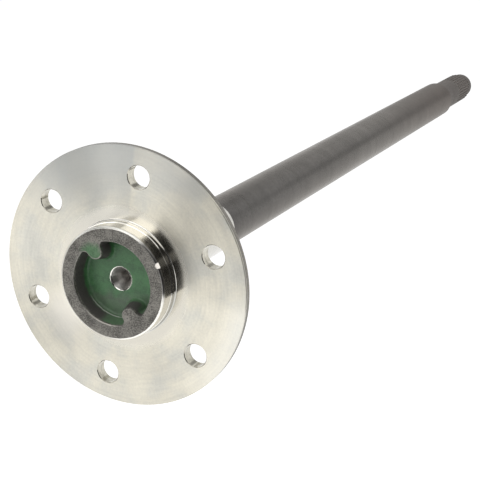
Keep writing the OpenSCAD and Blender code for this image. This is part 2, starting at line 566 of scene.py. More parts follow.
@dataclass(frozen=True)
class WheelFlange:
    """Turned flange with its ring of stud holes."""

    sizes: Interfaces
    root_r: float
    thickness: float = 8.8 * MM
    front_chamfer: float = 0.3 * MM
    back_chamfer: float = 4.0 * MM
    # Width of the turned front of the outer edge, before the raw rest
    bright_edge: float = 1.2 * MM
    journal_fillet: float = 6.0 * MM
    fillet_steps: int = 10
    # Distance from an edge to the ring that keeps its neighbour flat
    hold: float = 0.25 * MM
    hole_chamfer: float = 0.4 * MM
    hole_clock: float = 78.8
    hole_points: int = 72
    # How far the drills run past the flange
    past: float = 1.0 * MM

    def build(self, skin: RingStack) -> None:
        """Adds the wheel face, the edge, the back face and the fillet to the journal.

        Args:
            skin: Stack that the rings go to.
        """
        size = self.sizes
        outer, thick, hold = size.flange_r, self.thickness, self.hold
        inner_front = size.drum_pilot_r + self.root_r
        inner_back = size.journal_r + self.journal_fillet
        skin.turn(
            [
                (inner_front + hold, 0.0),
                (outer - self.front_chamfer - hold, 0.0),
                (outer - self.front_chamfer, 0.0),
                (outer, self.front_chamfer),
                (outer, self.front_chamfer + hold),
                (outer, self.bright_edge),
            ],
            Zone.FLANGE,
        )
        skin.turn(
            [
                (outer, thick - self.back_chamfer - hold),
                (outer, thick - self.back_chamfer),
                (outer - self.back_chamfer, thick),
            ],
            Zone.EDGE,
        )
        skin.turn([(outer - self.back_chamfer - hold, thick), (inner_back + hold, thick)], Zone.FLANGE)
        corner = (inner_back, thick + self.journal_fillet)
        skin.turn(arc(corner, self.journal_fillet, -90.0, -180.0, self.fillet_steps), Zone.FLANGE)

    def drills(self) -> bpy.types.Mesh:
        """Makes the shapes that cut the stud holes.

        Returns:
            One mesh of separate closed drills, in the stud hole's slot.
        """
        count, hole_r = self.hole_points, self.sizes.stud_hole_r
        flare = self.hole_chamfer + self.past
        section = [
            (hole_r + flare, -self.past),
            (hole_r, self.hole_chamfer),
            (hole_r, self.thickness - self.hole_chamfer),
            (hole_r + flare, self.thickness + self.past),
        ]
        turn = np.linspace(0.0, 2 * math.pi, count, endpoint=False)
        steps = [(i, (i + 1) % count) for i in range(count)]
        points, faces = [], []
        for i in range(self.sizes.stud_count):
            clock = math.radians(self.hole_clock) + 2 * math.pi * i / self.sizes.stud_count
            middle = self.sizes.stud_circle_r * np.array([math.cos(clock), 0.0, math.sin(clock)])
            first = len(points)
            for radius, along in section:
                points += (ring(radius, along, turn) + middle).tolist()
            last = len(points) - count
            for low in range(first, last, count):
                high = low + count
                faces += [(low + a, high + a, high + b, low + b) for a, b in steps]
            faces.append(tuple(range(first, first + count)))
            faces.append(tuple(reversed(range(last, last + count))))
        mesh = bpy.data.meshes.new("stud_drills")
        mesh.from_pydata(points, [], faces)
        mesh.polygons.foreach_set("material_index", [Zone.HOLE.value] * len(faces))
        return mesh


@dataclass(frozen=True)
class Spline:
    """Involute spline with the hob's run-out."""

    start: float
    length: float
    teeth: int = 30
    module: float = 1.0583 * MM
    pressure_angle: float = 30.0
    addendum: float = 0.25
    dedendum: float = 0.9
    neck_l: float = 27.0 * MM
    hob_r: float = 30.0 * MM
    # Where points lie down a flank, and across a tooth's land or a space's floor
    flank_shares: tuple[float, ...] = (0.33, 0.67)
    land_shares: tuple[float, ...] = (-1.0, -0.33, 0.33, 1.0)
    # Where rings lie along the run-out, and how many follow along the full teeth
    run_out_shares: tuple[float, ...] = (0.0, 0.1, 0.25, 0.45, 0.7, 1.0)
    tooth_rings: int = 4

    @property
    def pitch_r(self) -> float:
        """Pitch radius."""
        return self.module * self.teeth / 2

    @property
    def tip_r(self) -> float:
        """Radius over the teeth."""
        return self.pitch_r + self.addendum * self.module

    @property
    def root_r(self) -> float:
        """Radius at the bottom of the tooth spaces."""
        return self.pitch_r - self.dedendum * self.module

    def half_angle(self, radius: float) -> float:
        """Half of the angle that a tooth takes up.

        Args:
            radius: Radius where it is measured.

        Returns:
            The half angle in radians.
        """
        base = self.pitch_r * math.cos(math.radians(self.pressure_angle))
        pressure, here = math.radians(self.pressure_angle), math.acos(base / radius)
        return math.pi / (2 * self.teeth) + math.tan(pressure) - pressure - math.tan(here) + here

    def tooth(self) -> tuple[np.ndarray, np.ndarray]:
        """Points of one tooth and the space after it.

        Returns:
            Their angles from the tooth's middle, and their radii.
        """
        pitch = 2 * math.pi / self.teeth
        depth = self.tip_r - self.root_r
        tip, floor_half = self.half_angle(self.tip_r), pitch / 2 - self.half_angle(self.root_r)
        flank = [self.tip_r - depth * share for share in self.flank_shares]
        rising = [(self.half_angle(r), r) for r in flank]
        land = [(tip * share, self.tip_r) for share in self.land_shares]
        floor = [(pitch / 2 + floor_half * share, self.root_r) for share in self.land_shares]
        falling = [(pitch - angle, r) for angle, r in reversed(rising)]
        points = np.array(land + rising + floor + falling)
        return points[:, 0], points[:, 1]

    def build(self, skin: RingStack) -> None:
        """Adds the run-out and the teeth.

        Args:
            skin: Stack that the rings go to.
        """
        angles, radii = self.tooth()
        turns = np.arange(self.teeth) * 2 * math.pi / self.teeth
        around = (turns[:, None] + angles[None, :]).ravel() + skin.angles[0]
        toothed = np.tile(radii, self.teeth)
        depth = self.tip_r - self.root_r
        run_out = math.sqrt(2 * self.hob_r * depth - depth * depth)
        first = self.start + self.neck_l
        for share in self.run_out_shares:
            left = run_out * (1 - share)
            floor = self.root_r + self.hob_r - math.sqrt(self.hob_r**2 - left**2)
            skin.add(ring(np.maximum(toothed, floor), first + run_out * share, around), Zone.SPLINE)
        for along in np.linspace(first + run_out, self.start + self.length, self.tooth_rings + 1)[1:]:
            skin.add(ring(toothed, along, around), Zone.SPLINE)


@dataclass(frozen=True)
class Shaft:
    """Ground journal, turned shaft, shoulder, spline, clip groove and end button."""

    sizes: Interfaces
    journal_start: float
    shaft_r: float = 19.2 * MM
    shaft_rings: int = 9
    # Width of the journal's end that the grinding wheel left dull
    dull_end: float = 1.5 * MM
    shoulder_l: float = 20.0 * MM
    spline_l: float = 74.5 * MM
    groove_w: float = 6.0 * MM
    groove_r: float = 11.2 * MM
    button_l: float = 11.5 * MM
    button_r: float = 14.2 * MM
    end_chamfer: float = 1.0 * MM
    # Distance from an edge to the ring that keeps its neighbour flat
    hold: float = 0.3 * MM
    centre: LatheCentre = LatheCentre(mouth_r=4.5 * MM, drill_r=2.0 * MM)

    def build(self, skin: RingStack) -> float:
        """Adds everything from the journal to the splined end.

        Args:
            skin: Stack that the rings go to.

        Returns:
            Axial place of the end centre's drill tip.
        """
        size, hold = self.sizes, self.hold
        button = size.end_y - self.button_l
        groove = button - self.groove_w
        spline = Spline(start=groove - self.spline_l, length=self.spline_l)
        shoulder = spline.start - self.shoulder_l
        bright = (self.journal_start + hold, size.journal_end - self.dull_end)
        skin.turn([(size.journal_r, y) for y in bright], Zone.JOURNAL)
        dull = (size.journal_end - hold, size.journal_end)
        skin.turn([(size.journal_r, y) for y in dull], Zone.SHAFT)
        start = size.journal_end + size.journal_r - self.shaft_r
        stretches = np.linspace(start + hold, shoulder - hold, self.shaft_rings)
        skin.turn([(self.shaft_r, y) for y in (start, *stretches, shoulder)], Zone.SHAFT)
        neck = (spline.start, spline.start + hold, spline.start + spline.neck_l - hold)
        skin.turn([(spline.tip_r, y) for y in neck], Zone.SPLINE)
        spline.build(skin)
        section, tip = self.centre.section(size.end_y, -1.0)
        skin.turn(
            [
                (self.groove_r, groove),
                (self.groove_r, button),
                (self.button_r - hold, button),
                (self.button_r, button + hold),
                (self.button_r, size.end_y - self.end_chamfer),
                (self.button_r - self.end_chamfer, size.end_y),
                (self.button_r - self.end_chamfer - hold, size.end_y),
                section[-1],
            ],
            Zone.BUTTON,
        )
        skin.turn(section[-2::-1], Zone.CENTRE)
        return tip


@dataclass(frozen=True)
class Ramp:
    """Smooth change from one result to another, as a value goes from low to high."""

    low: float
    high: float
    to_low: float = 0.0
    to_high: float = 1.0


class Graph:
    """A material's node tree, with short ways to add its nodes."""

    def __init__(self, name: str) -> None:
        """Starts an empty material with its output.

        Args:
            name: Name of the material.
        """
        self.material = bpy.data.materials.new(name)
        self.material.use_nodes = True
        self.tree = self.material.node_tree
        self.tree.nodes.clear()
        self.output = self.node("ShaderNodeOutputMaterial")
        split = self.node("ShaderNodeSeparateXYZ")
        self.place = self.node("ShaderNodeTexCoord").outputs["Object"]
        self.tree.links.new(self.place, split.inputs[0])
        self.x, self.y, self.z = split.outputs
        self.radius = self.distance(self.x, self.z)

    def node(self, kind: str, **settings: Any) -> bpy.types.Node:
        """Adds a node.

        Args:
            kind: Blender's name for its kind.
            settings: Its settings by name.

        Returns:
            The node.
        """
        made = self.tree.nodes.new(kind)
        for name, value in settings.items():
            setattr(made, name, value)
        return made

    def feed(self, target: Socket, value: Value) -> None:
        """Links a socket to an input, or sets the input; a colour gets its full alpha.

        Args:
            target: The input.
            value: Socket that it is linked to, or the value that it gets.
        """
        if isinstance(value, Socket):
            self.tree.links.new(value, target)
        else:
            target.default_value = (*value, 1.0) if target.type == "RGBA" else value

    def math(self, operation: str, *values: Value) -> Socket:
        """Adds an operation on up to three values.

        Args:
            operation: Name of the operation.
            values: Values or sockets.

        Returns:
            The result's socket.
        """
        made = self.node("ShaderNodeMath", operation=operation)
        for socket, value in zip(made.inputs, values):
            self.feed(socket, value)
        return made.outputs[0]

    def chain(self, operation: str, *values: Value) -> Socket:
        """Joins two or more values by one operation, in turn."""
        return reduce(lambda first, second: self.math(operation, first, second), values)

    def distance(self, across: Value, up: Value) -> Socket:
        """Length of a step with two sides at right angles."""
        squares = [self.math("MULTIPLY", side, side) for side in (across, up)]
        return self.math("SQRT", self.math("ADD", *squares))

    def swing(self, pattern: Value, amount: float, about: Value = 0.0) -> Socket:
        """Adds a pattern's swing about its average to a value.

        Args:
            pattern: Noise pattern.
            amount: How far the result goes as the pattern goes from 0 to 1.
            about: Result at the pattern's average.

        Returns:
            The result's socket.
        """
        return self.math("MULTIPLY_ADD", self.math("SUBTRACT", pattern, AVERAGE), amount, about)

    def rise(self, value: Value, ramp: Ramp) -> Socket:
        """Maps a value along a ramp.

        Args:
            value: Value or socket.
            ramp: The ramp.

        Returns:
            The result's socket.
        """
        made = self.node("ShaderNodeMapRange", interpolation_type="SMOOTHSTEP")
        settings = (value, ramp.low, ramp.high, ramp.to_low, ramp.to_high)
        for socket, setting in zip(made.inputs, settings):
            self.feed(socket, setting)
        return made.outputs[0]

    def noise(self, socket: str, where: Value, scale: float, detail: float) -> Socket:
        """Adds a noise pattern.

        Args:
            socket: Input for the place: Vector for one in space, or W for one coordinate.
            where: The place.
            scale: Number of lumps in a unit of it.
            detail: Number of finer layers.

        Returns:
            The pattern's socket, about 0.5 on average.
        """
        made = self.node("ShaderNodeTexNoise", noise_dimensions="1D" if socket == "W" else "3D")
        self.feed(made.inputs[socket], where)
        made.inputs["Scale"].default_value = scale
        made.inputs["Detail"].default_value = detail
        return made.outputs["Fac"]

    def grain(self, lumps: float, detail: float) -> Socket:
        """Noise through space, with a number of lumps in a metre."""
        return self.noise("Vector", self.place, lumps, detail)

    def lines(self, across: Value, pitch: float, detail: float = 1.0) -> Socket:
        """Uneven tool lines across one coordinate, usually a pitch apart."""
        return self.noise("W", across, 1.0 / pitch, detail)

    def tool_marks(self, across: Value, pitch: float, turns: float, detail: float = 2.0) -> Socket:
        """Broken tool lines round the axis.

        Args:
            across: Coordinate that the lines cross.
            pitch: Usual distance between lines in metres.
            turns: How often the marks change in one radian round the axis.
            detail: Number of finer layers.

        Returns:
            The marks' socket, about 0.5 on average.
        """
        where = self.node("ShaderNodeCombineXYZ")
        self.feed(where.inputs[0], self.math("DIVIDE", across, pitch))
        for socket, side in zip(where.inputs[1:], (self.x, self.z)):
            self.feed(socket, self.math("MULTIPLY", self.math("DIVIDE", side, self.radius), turns))
        return self.noise("Vector", where.outputs[0], 1.0, detail)

    def mixed(self, kind: MixKind, share: Value, first: Value, second: Value, **settings: Any) -> Socket:
        """Mixes two values of one kind.

        Args:
            kind: Kind of the values.
            share: Share of the second value.
            first: First value or socket.
            second: Second value or socket.
            settings: Other settings of the node.

        Returns:
            The mixed value's socket.
        """
        data_type, place, result = kind.value
        made = self.node("ShaderNodeMix", data_type=data_type, **settings)
        for number, value in ((0, share), (place, first), (place + 1, second)):
            self.feed(made.inputs[number], value)
        return made.outputs[result]

    def mix(self, share: Value, first: Value, second: Value) -> Socket:
        """Mixes two colours by a share of the second."""
        return self.mixed(MixKind.COLOUR, share, first, second)

    def tint(self, share: Value, colour: Value, by: Colour) -> Socket:
        """Multiplies a colour by a tint, by a share of the full effect."""
        return self.mixed(MixKind.COLOUR, share, colour, by, blend_type="MULTIPLY")

    def blend(self, share: Value, first: Value, second: Value) -> Socket:
        """Mixes two numbers by a share of the second."""
        return self.mixed(MixKind.NUMBER, share, first, second)

    def lean(self, share: Value, normal: Socket, faces: Point) -> Socket:
        """Turns a normal towards a fixed direction of the piece.

        Args:
            share: Share of the full effect.
            normal: The normal.
            faces: The direction.

        Returns:
            The turned normal's socket.
        """
        turn = self.node("ShaderNodeVectorTransform", vector_type="NORMAL", convert_from="OBJECT")
        turn.convert_to = "WORLD"
        turn.inputs[0].default_value = faces
        return self.mixed(MixKind.DIRECTION, share, normal, turn.outputs[0])

    def bump(self, height: Value, distance: float, strength: float = 1.0) -> Socket:
        """Turns a height from 0 to 1 into a bent normal.

        Args:
            height: The height.
            distance: Height in metres at 1.
            strength: Share of the full effect.

        Returns:
            The normal's socket.
        """
        made = self.node("ShaderNodeBump")
        made.inputs["Strength"].default_value = strength
        made.inputs["Distance"].default_value = distance
        self.feed(made.inputs["Height"], height)
        return made.outputs["Normal"]

    def round_lines_tangent(self) -> Socket:
        """Direction of lines that run round the axis."""
        return self.node("ShaderNodeTangent", direction_type="RADIAL", axis="Y").outputs[0]

    def surface(self, **inputs: Value) -> bpy.types.Material:
        """Ends the material with one shader.

        Args:
            inputs: Values or sockets for the shader's inputs, with underscores for spaces.

        Returns:
            The material.
        """
        shader = self.node("ShaderNodeBsdfPrincipled")
        for name, value in inputs.items():
            self.feed(shader.inputs[name.replace("_", " ")], value)
        self.tree.links.new(shader.outputs[0], self.output.inputs[0])
        return self.material

    def matte(self, colour: Colour, glow: Value, **inputs: Value) -> bpy.types.Material:
        """Ends the material with a dull surface that glows white.

        Args:
            colour: Colour of the surface.
            glow: Strength of its glow.
            inputs: Other inputs, as for any surface.

        Returns:
            The material.
        """
        dull = {"Base_Color": colour, "Roughness": 1.0, "Specular_IOR_Level": 0.0}
        return self.surface(**dull, Emission_Color=WHITE, Emission_Strength=glow, **inputs)


@dataclass(frozen=True)
class Ragged:
    """Unevenness of an edge: its lumps in a metre, and how far they move it."""

    lumps: float
    reach: float
    detail: float = 3.0

    def shift(self, graph: Graph) -> Socket:
        """How far the edge is moved at each place."""
        return graph.swing(graph.grain(self.lumps, self.detail), self.reach)


@dataclass(frozen=True)
class PaintedReflection:
    """Painted reflection: colour that darkens or brightens one sector of a turned face."""

    colour: Colour
    # Clock angles of its start and its end in degrees, and how far each of them fades
    start: float
    start_fade: float
    end: float
    end_fade: float
    # Its share across the radii
    across: Ramp

    def cover(self, graph: Graph, colour: Value) -> Socket:
        """Lays the painted reflection over a colour.

        Args:
            graph: The material that uses it.
            colour: The colour below.

        Returns:
            The covered colour's socket.
        """
        clock = graph.math("DEGREES", graph.math("ARCTAN2", graph.z, graph.x))
        begun = graph.rise(clock, Ramp(self.start, self.start + self.start_fade))
        left = graph.rise(clock, Ramp(self.end - self.end_fade, self.end, 1.0, 0.0))
        share = graph.chain("MULTIPLY", begun, left, graph.rise(graph.radius, self.across))
        return graph.mix(share, colour, self.colour)


@dataclass(frozen=True)
class TurnedSteel:
    """Steel with tool lines round the axis."""

    name: str
    colour: Colour
    shade: Colour
    roughness: float
    # Usual distance between the tool lines, and their depth
    pitch: float
    depth: float
    # How far the roughness swings
    spread: float = 0.06
    # How far the tool lines draw reflections out, and the part of a turn that sets them across the lines
    anisotropy: float = 0.0
    drawn_turn: float = 0.25
    metallic: float = 1.0
    line_contrast: float = 1.2
    mark_turns: float = 3.0
    # Broader lines among the tool lines: how much broader, and their share of the contrast
    broad_ratio: float = 9.0
    broad_share: float = 1.0 / 3.0
    cloud_size: float = 30.0 * MM
    cloud_detail: float = 4.0
    cloud_contrast: float = 0.6
    speckle_size: float = 1.3 * MM
    speckle_detail: float = 2.0
    speckle_contrast: float = 0.3
    # Uneven patches: where they lie in the clouds, and their tint
    patches: Ramp = Ramp(0.42, 0.64)
    patch_tint: Colour = WHITE
    # Tint of reflections at low angles
    edge_tint: Colour = WHITE
    # Radius inside which the tool left another cut, its share of the roughness, its fade and its painted
    # shading
    smooth_r: float = 0.0
    smooth_share: float = 1.0
    smooth_fade: float = 0.15
    # Painted shading inside the radius: painted shade round the flange's boss, painted light in the tooth
    # spaces
    painted_inner_shading: Colour = WHITE
    # Painted reflections that darken or brighten sectors of the face
    painted_reflections: tuple[PaintedReflection, ...] = ()
    # Tint and roughness towards the splined end, and where the change starts and ends
    far_tint: Colour = WHITE
    far_roughness: float = 0.0
    far_start: float = 0.0
    far_end: float = 0.0
    # Share of axial distance in the coordinate that the lines cross, so that it changes on every face
    axial_share: float = 1.37

    def material(self) -> bpy.types.Material:
        """Makes the finish's material.

        Returns:
            The material.
        """
        graph = Graph(self.name)
        across = graph.math("MULTIPLY_ADD", graph.y, self.axial_share, graph.radius)
        fine = graph.tool_marks(across, self.pitch, self.mark_turns)
        broad = graph.lines(across, self.pitch * self.broad_ratio)
        clouds = graph.grain(1.0 / self.cloud_size, self.cloud_detail)
        speckle = graph.grain(1.0 / self.speckle_size, self.speckle_detail)
        share: Value = AVERAGE
        for pattern, contrast in (
            (fine, self.line_contrast),
            (broad, self.line_contrast * self.broad_share),
            (clouds, self.cloud_contrast),
            (speckle, self.speckle_contrast),
        ):
            share = graph.swing(pattern, contrast, share)
        colour = graph.mix(share, self.colour, self.shade)
        colour = graph.tint(graph.rise(clouds, self.patches), colour, self.patch_tint)
        rough = graph.swing(clouds, self.spread, graph.swing(broad, self.spread, self.roughness))
        if self.smooth_r:
            fade = Ramp(self.smooth_r, (1.0 + self.smooth_fade) * self.smooth_r, 1.0, 0.0)
            inside = graph.rise(graph.radius, fade)
            rough = graph.math("MULTIPLY", rough, graph.blend(inside, 1.0, self.smooth_share))
            # Inside the radius the colour turns to the painted shading
            colour = graph.mix(inside, colour, self.painted_inner_shading)
        # Painted reflections over their sectors
        for sector_reflection in self.painted_reflections:
            colour = sector_reflection.cover(graph, colour)
        if self.far_end:
            far = graph.rise(graph.y, Ramp(self.far_start, self.far_end))
            colour = graph.tint(far, colour, self.far_tint)
            rough = graph.blend(far, rough, self.far_roughness)
        return graph.surface(
            Base_Color=colour,
            Metallic=self.metallic,
            Roughness=rough,
            Specular_Tint=self.edge_tint,
            Anisotropic=self.anisotropy,
            Anisotropic_Rotation=self.drawn_turn,
            Tangent=graph.round_lines_tangent(),
            Normal=graph.bump(fine, self.depth),
        )


@dataclass(frozen=True)
class PaintedForging:
    """Raw forged rim with its turned edge, black scale in the recess and green paint on its floor."""

    name: str
    recess: BossRecess
    # Radius where the turning tool's cut past the rim starts, its ragged start and its fade
    rim_r: float
    turned_edge: Ragged = Ragged(lumps=700.0, reach=0.6 * MM)
    turned_fade: float = 0.25 * MM
    turned: Colour = (0.95, 0.93, 0.87)
    turned_roughness: float = 0.28
    # Painted dark reflections on sectors of the boss's turned edge
    edge_painted_reflections: tuple[PaintedReflection, ...] = (
        PaintedReflection(
            colour=(0.12, 0.117, 0.111), start=-8.0, start_fade=8.0, end=58.0, end_fade=10.0,
            across=Ramp(30.0 * MM, 31.0 * MM, 0.0, 0.84),
        ),
        PaintedReflection(
            colour=(0.4, 0.385, 0.34), start=125.0, start_fade=20.0, end=200.0, end_fade=10.0,
            across=Ramp(30.0 * MM, 31.0 * MM, 0.0, 0.65),
        ),
        PaintedReflection(
            colour=(0.4, 0.385, 0.34), start=-200.0, start_fade=10.0, end=-75.0, end_fade=25.0,
            across=Ramp(30.0 * MM, 31.0 * MM, 0.0, 0.65),
        ),
    )
    # Raw steel and its grain, with the tones that the grain goes through
    steel: Colour = (0.284, 0.271, 0.243)
    steel_dark: Colour = (0.088, 0.084, 0.075)
    steel_tones: Ramp = Ramp(0.34, 0.66)
    steel_roughness: float = 0.55
    steel_metallic: float = 0.5
    grain_size: float = 0.8 * MM
    grain_depth: float = 0.2 * MM
    grain_detail: float = 3.0
    # Broader patches in the grain: lumps in a metre, and their share
    patch_lumps: float = 130.0
    patch_share: float = 0.5
    # Black scale in the recess, and the depths over which it starts
    scale: Colour = (0.105, 0.097, 0.092)
    scale_edge: Ragged = Ragged(lumps=420.0, reach=1.2 * MM)
    scale_depth: Ramp = Ramp(0.9 * MM, 2.2 * MM)
    # Paint, its streaks and the share of the steel's grain that shows through it
    paint: Colour = (0.066, 0.19, 0.072)
    paint_dark: Colour = (0.04, 0.111, 0.046)
    paint_roughness: float = 0.36
    paint_grain: float = 0.4
    streak_lumps: float = 160.0
    streak_detail: float = 4.0
    streak_grain: float = 0.7
    streak_tones: Ramp = Ramp(0.2, 0.7)
    # Depths over which the paint comes to cover the floor, and its ragged edge
    paint_depth: Ramp = Ramp(8.0 * MM, 10.5 * MM)
    paint_edge: Ragged = Ragged(lumps=420.0, reach=3.0 * MM)
    # Strip of paint low on the wall: its depth, its ends along X, and the height that it stays below
    strip_depth: Ramp = Ramp(0.8 * MM, 1.8 * MM)
    strip_start: Ramp = Ramp(-12.0 * MM, -6.0 * MM)
    strip_end: Ramp = Ramp(5.0 * MM, 9.0 * MM, 1.0, 0.0)
    strip_top: float = -15.0 * MM
    # Paint in the corner beside the lower lug: its depth, its start along X, and the height it stays below
    corner_depth: Ramp = Ramp(2.5 * MM, 4.5 * MM)
    corner_start: Ramp = Ramp(16.0 * MM, 18.5 * MM)
    corner_top: float = 0.0
    # Paint sprayed on the upper lug: its middle, its reach, how ragged that is, and its depth
    spray_clock: float = 128.0
    spray_r: float = 23.0 * MM
    spray_reach: Ramp = Ramp(4.0 * MM, 10.5 * MM, 0.85, 0.0)
    spray_ragged: float = 1.6
    spray_depth: Ramp = Ramp(1.0 * MM, 2.4 * MM, 1.0, 0.0)
    # Greyer colour towards the bottom of the recess: the heights over which it starts, and how far the
    # patches move them
    lower_floor_grey: Colour = (0.115, 0.124, 0.102)
    lower_floor_height: Ramp = Ramp(0.0, -9.0 * MM, 0.0, 0.5)
    lower_floor_patches: float = 14.0 * MM
    # Painted highlight, a light line low in the recess by the floor: its depths, its height and its end
    # along X
    painted_fillet_highlight: Colour = (0.52, 0.54, 0.49)
    painted_highlight_edge: Ragged = Ragged(lumps=500.0, reach=0.8 * MM)
    painted_highlight_start: Ramp = Ramp(9.5 * MM, 9.9 * MM)
    painted_highlight_end: Ramp = Ramp(10.4 * MM, 10.8 * MM, 0.8, 0.0)
    painted_highlight_height: Ramp = Ramp(-19.0 * MM, -12.0 * MM, 1.0, 0.0)
    painted_highlight_side: Ramp = Ramp(-2.0 * MM, 4.0 * MM, 1.0, 0.0)
    # Bright chip on the boss's edge: its middle, its size, the share of that without a fade, and its face
    chip: Colour = (0.98, 0.93, 0.86)
    chip_clock: float = 26.0
    chip_out: float = 9.8 * MM
    chip_r: float = 2.3 * MM
    chip_core: float = 0.6
    chip_faces: Point = (0.25, -0.55, 0.8)
    chip_roughness: float = 0.25

    def depth(self, graph: Graph, shift: Socket) -> Socket:
        """Depth below the rim, with the shift of an uneven edge."""
        return graph.math("ADD", graph.math("SUBTRACT", graph.y, self.recess.rim_y), shift)

    def away(self, graph: Graph, radius: float, clock: float) -> Socket:
        """Distance across the axis from a spot.

        Args:
            graph: The material that uses it.
            radius: Radius of the spot.
            clock: Clock angle of the spot in degrees.

        Returns:
            The distance's socket.
        """
        turn = math.radians(clock)
        across = graph.math("SUBTRACT", graph.x, radius * math.cos(turn))
        return graph.distance(across, graph.math("SUBTRACT", graph.z, radius * math.sin(turn)))

    def paint_mask(self, graph: Graph) -> Socket:
        """Where the paint lies.

        Args:
            graph: The material that uses it.

        Returns:
            A socket with 1 on full paint and 0 on bare steel.
        """
        uneven = self.paint_edge.shift(graph)
        depth = self.depth(graph, uneven)
        strip = graph.chain(
            "MULTIPLY",
            graph.rise(depth, self.strip_depth),
            graph.math("LESS_THAN", graph.z, self.strip_top),
            graph.rise(graph.x, self.strip_start),
            graph.rise(graph.x, self.strip_end),
        )
        corner = graph.chain(
            "MULTIPLY",
            graph.rise(depth, self.corner_depth),
            graph.math("LESS_THAN", graph.z, self.corner_top),
            graph.rise(graph.x, self.corner_start),
        )
        away = self.away(graph, self.spray_r, self.spray_clock)
        away = graph.math("MULTIPLY_ADD", uneven, self.spray_ragged, away)
        lug = graph.math("MULTIPLY", graph.rise(away, self.spray_reach), graph.rise(depth, self.spray_depth))
        return graph.chain("MAXIMUM", graph.rise(depth, self.paint_depth), strip, corner, lug)

    def turned_mask(self, graph: Graph) -> Socket:
        """Where the turning tool cut past the boss's rim."""
        reach = graph.math("ADD", graph.radius, self.turned_edge.shift(graph))
        return graph.rise(reach, Ramp(self.rim_r, self.rim_r + self.turned_fade))

    def painted_highlight_mask(self, graph: Graph) -> Socket:
        """Where a painted highlight lies as a thin light line low in the recess.

        Args:
            graph: The material that uses it.

        Returns:
            A socket with the line's share.
        """
        depth = self.depth(graph, self.painted_highlight_edge.shift(graph))
        return graph.chain(
            "MULTIPLY",
            graph.rise(depth, self.painted_highlight_start),
            graph.rise(depth, self.painted_highlight_end),
            graph.rise(graph.z, self.painted_highlight_height),
            graph.rise(graph.x, self.painted_highlight_side),
        )

    def chip_mask(self, graph: Graph) -> Socket:
        """Where the boss's edge is chipped bright."""
        away = self.away(graph, self.recess.mouth_r + self.chip_out, self.chip_clock)
        return graph.rise(away, Ramp(self.chip_r * self.chip_core, self.chip_r, 1.0, 0.0))

    def material(self) -> bpy.types.Material:
        """Makes the finish's material.

        Returns:
            The material.
        """
        graph = Graph(self.name)
        painted, turned, chipped = self.paint_mask(graph), self.turned_mask(graph), self.chip_mask(graph)
        grain = graph.grain(1.0 / self.grain_size, self.grain_detail)
        patches = graph.grain(self.patch_lumps, self.grain_detail)
        speckle = graph.swing(patches, self.patch_share, grain)
        bare = graph.mix(graph.rise(speckle, self.steel_tones), self.steel_dark, self.steel)
        depth = self.depth(graph, self.scale_edge.shift(graph))
        scaled = graph.math("SUBTRACT", graph.rise(depth, self.scale_depth), turned)
        bare = graph.mix(scaled, bare, self.scale)
        streaks = graph.swing(grain, self.streak_grain, graph.grain(self.streak_lumps, self.streak_detail))
        paint = graph.mix(graph.rise(streaks, self.streak_tones), self.paint_dark, self.paint)
        low = graph.math("MULTIPLY_ADD", patches, self.lower_floor_patches, graph.z)
        paint = graph.mix(graph.rise(low, self.lower_floor_height), paint, self.lower_floor_grey)
        # Painted highlight along the foot of the lower wall
        paint = graph.mix(self.painted_highlight_mask(graph), paint, self.painted_fillet_highlight)
        cut: Value = self.turned
        # Painted dark reflections over the turned edge
        for sector_reflection in self.edge_painted_reflections:
            cut = sector_reflection.cover(graph, cut)
        colour = graph.mix(turned, graph.mix(painted, bare, paint), cut)
        metallic = graph.blend(painted, self.steel_metallic, 0.0)
        rough = graph.blend(painted, self.steel_roughness, self.paint_roughness)
        rough = graph.blend(turned, rough, self.turned_roughness)
        height = graph.blend(painted, grain, graph.math("MULTIPLY", grain, self.paint_grain))
        normal = graph.bump(graph.blend(turned, height, AVERAGE), self.grain_depth)
        return graph.surface(
            Base_Color=graph.mix(chipped, colour, self.chip),
            Metallic=graph.blend(graph.math("MAXIMUM", turned, chipped), metallic, 1.0),
            Roughness=graph.blend(chipped, rough, self.chip_roughness),
            Normal=graph.lean(chipped, normal, self.chip_faces),
        )


